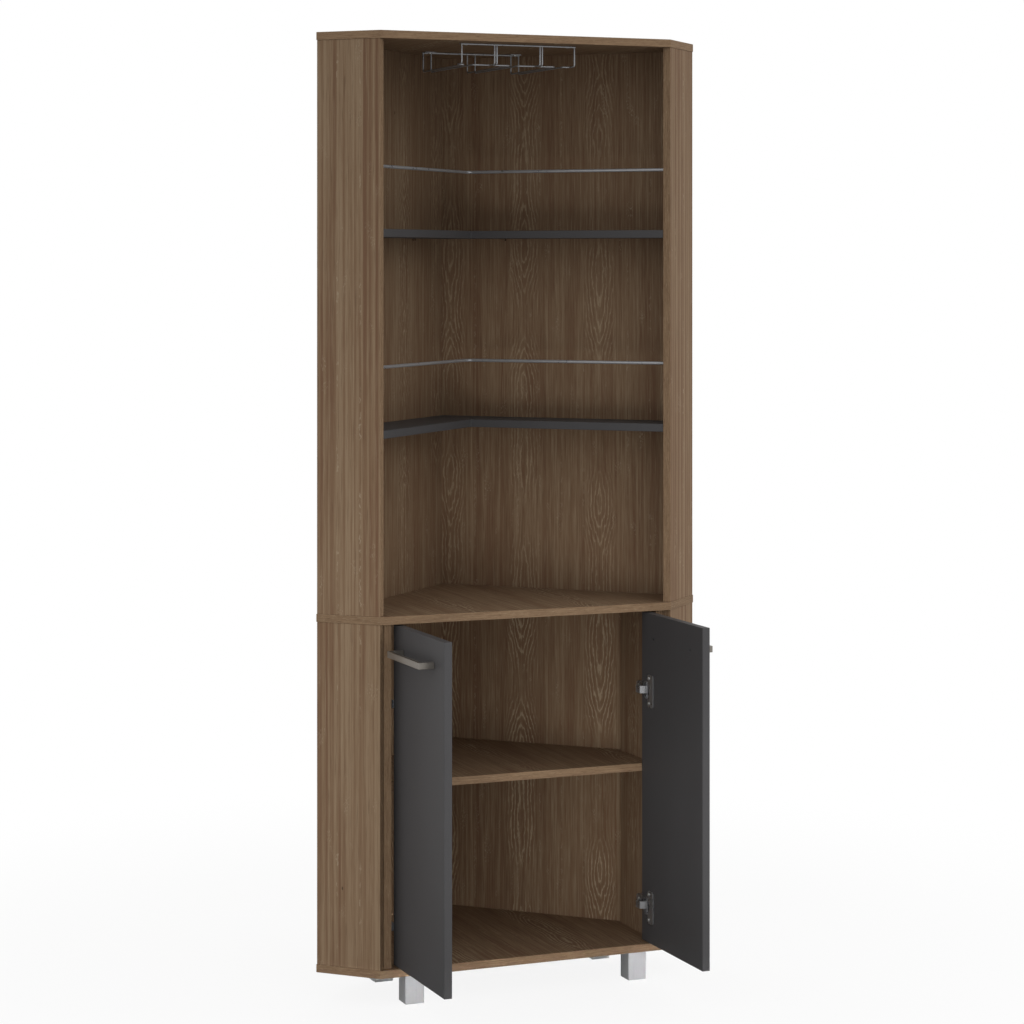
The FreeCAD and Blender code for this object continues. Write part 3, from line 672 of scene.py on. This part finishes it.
masters = {name: makeScrew(name, look) for name, look in screwTypes.items()}
screwCount = 0
for nodeName, (kind, metal) in screwNodes.items():
    body = "cabinet"
    if nodeName.startswith(("right_", "left_")):
        body = nodeName.split("_")[0] + "_door_leaf"
    screwCount += setScrews(nodeName, masters[kind], metal, body)
for master in masters.values():
    bpy.data.objects.remove(master, do_unlink=True)
print("screws set:", screwCount)


# floor, camera and light, in metres
floorLook = {
    "size": 60.0,
    "drop": 0.0004,
    "middle": (0, -0.2, 0),
    "colour": paint(238, 238, 238),
    "bounce": paint(158, 158, 158),
    "nearWhite": 0.89,
    "fade": (0.75, 1.9),
}


def makeFloor():
    look = floorLook
    bpy.ops.object.select_all(action="DESELECT")
    bpy.ops.mesh.primitive_plane_add(size=look["size"], location=(0, 0, -look["drop"]))
    floor = bpy.context.object
    floor.name = "studioFloor"
    material, tree, shader = newFinish("studioFloor", Roughness=0.9, Specular_IOR_Level=0.0)
    direct = rayIs(tree, "Is Camera Ray")
    mirrored = rayIs(tree, "Is Glossy Ray", "Is Transmission Ray")
    colour = blend(tree, direct, look["bounce"], look["colour"])
    tree.links.new(colour, shader.inputs["Base Color"])
    spot = add(tree, "TexCoord").outputs["Object"]
    far = add(tree, "VectorMath", {0: spot, 1: look["middle"]}, operation="DISTANCE").outputs["Value"]
    white = add(tree, "Emission", {"Color": (1, 1, 1, 1), "Strength": 1.0})
    # plain white away from the cabinet, the shadow kept close to it
    inView = calc(tree, "MULTIPLY", direct, smooth(tree, far, *look["fade"], look["nearWhite"], 1))
    inMirror = calc(tree, "MULTIPLY", mirrored, smooth(tree, far, *look["fade"]))
    shown = calc(tree, "MAXIMUM", inView, inMirror)
    mixed = add(tree, "MixShader", {0: shown, 1: shader.outputs[0], 2: white.outputs[0]})
    tree.links.new(mixed.outputs[0], tree.nodes["Material Output"].inputs["Surface"])
    floor.data.materials.append(material)


cameraLook = {
    "place": (-2.0067, -5.2216, 1.3763),
    "turn": -22.3028,
    "sensor": 36,
    "focus": 97.448,
    "shift": -0.24606,
}


def makeCamera():
    camera = bpy.data.cameras.new("studioCamera")
    camera.sensor_width = cameraLook["sensor"]
    camera.lens = cameraLook["focus"]
    camera.shift_y = cameraLook["shift"]
    item = bpy.data.objects.new("studioCamera", camera)
    item.location = cameraLook["place"]
    item.rotation_euler = (math.radians(90), 0, math.radians(cameraLook["turn"]))
    scene.collection.objects.link(item)
    scene.camera = item


lampLooks = {
    "frontRight": {
        "place": (3.2, -4.6, 3.0),
        "aim": (0, -0.3, 0.9),
        "size": (3.0, 3.0),
        "power": 26.0,
        "spread": 180,
    },
    "farRight": {
        "place": (5.2, -2.6, 2.2),
        "aim": (0, -0.3, 0.9),
        "size": (3.0, 3.0),
        "power": 21.0,
        "spread": 180,
    },
    "lowFront": {
        "place": (0.1, -2.4, 0.35),
        "aim": (0, -0.2, 0.42),
        "size": (1.0, 1.0),
        "power": 1.9,
        "spread": 75,
    },
    "lowLeft": {
        "place": (-1.25, -2.4, 0.3),
        "aim": (0.15, -0.15, 0.42),
        "size": (0.8, 0.8),
        "power": 2.0,
        "spread": 75,
    },
    "doorFill": {
        "place": (-1.6, -2.6, 0.45),
        "aim": (0.36, -0.53, 0.3),
        "size": (0.3, 0.3),
        "power": 0.21,
        "spread": 16,
    },
    "floorStrip": {
        "place": (1.0, -2.1, 0.03),
        "aim": (0.05, -0.3, 0.03),
        "size": (1.6, 0.05),
        "power": 0.23,
        "spread": 6,
    },
}
skyLook = {"level": 0.81}


def makeLight():
    for name, look in lampLooks.items():
        lamp = bpy.data.lights.new(name, "AREA")
        lamp.shape = "RECTANGLE"
        lamp.size, lamp.size_y = look["size"]
        lamp.energy = look["power"]
        lamp.spread = math.radians(look["spread"])
        item = bpy.data.objects.new(name, lamp)
        item.location = look["place"]
        item.visible_camera = False
        item.visible_glossy = False
        direction = Vector(look["aim"]) - item.location
        item.rotation_euler = direction.to_track_quat("-Z", "Y").to_euler()
        scene.collection.objects.link(item)
    world = bpy.data.worlds.new("studioSky")
    world.use_nodes = True
    scene.world = world
    tree = world.node_tree
    seen = rayIs(tree, "Is Camera Ray", "Is Glossy Ray", "Is Transmission Ray")
    strength = smooth(tree, seen, 0, 1, skyLook["level"], 1.0)
    sky = tree.nodes["Background"]
    sky.inputs["Color"].default_value = (1, 1, 1, 1)
    tree.links.new(strength, sky.inputs["Strength"])


makeFloor()
makeCamera()
makeLight()
scene.view_settings.view_transform = "Standard"
print("studio ready")
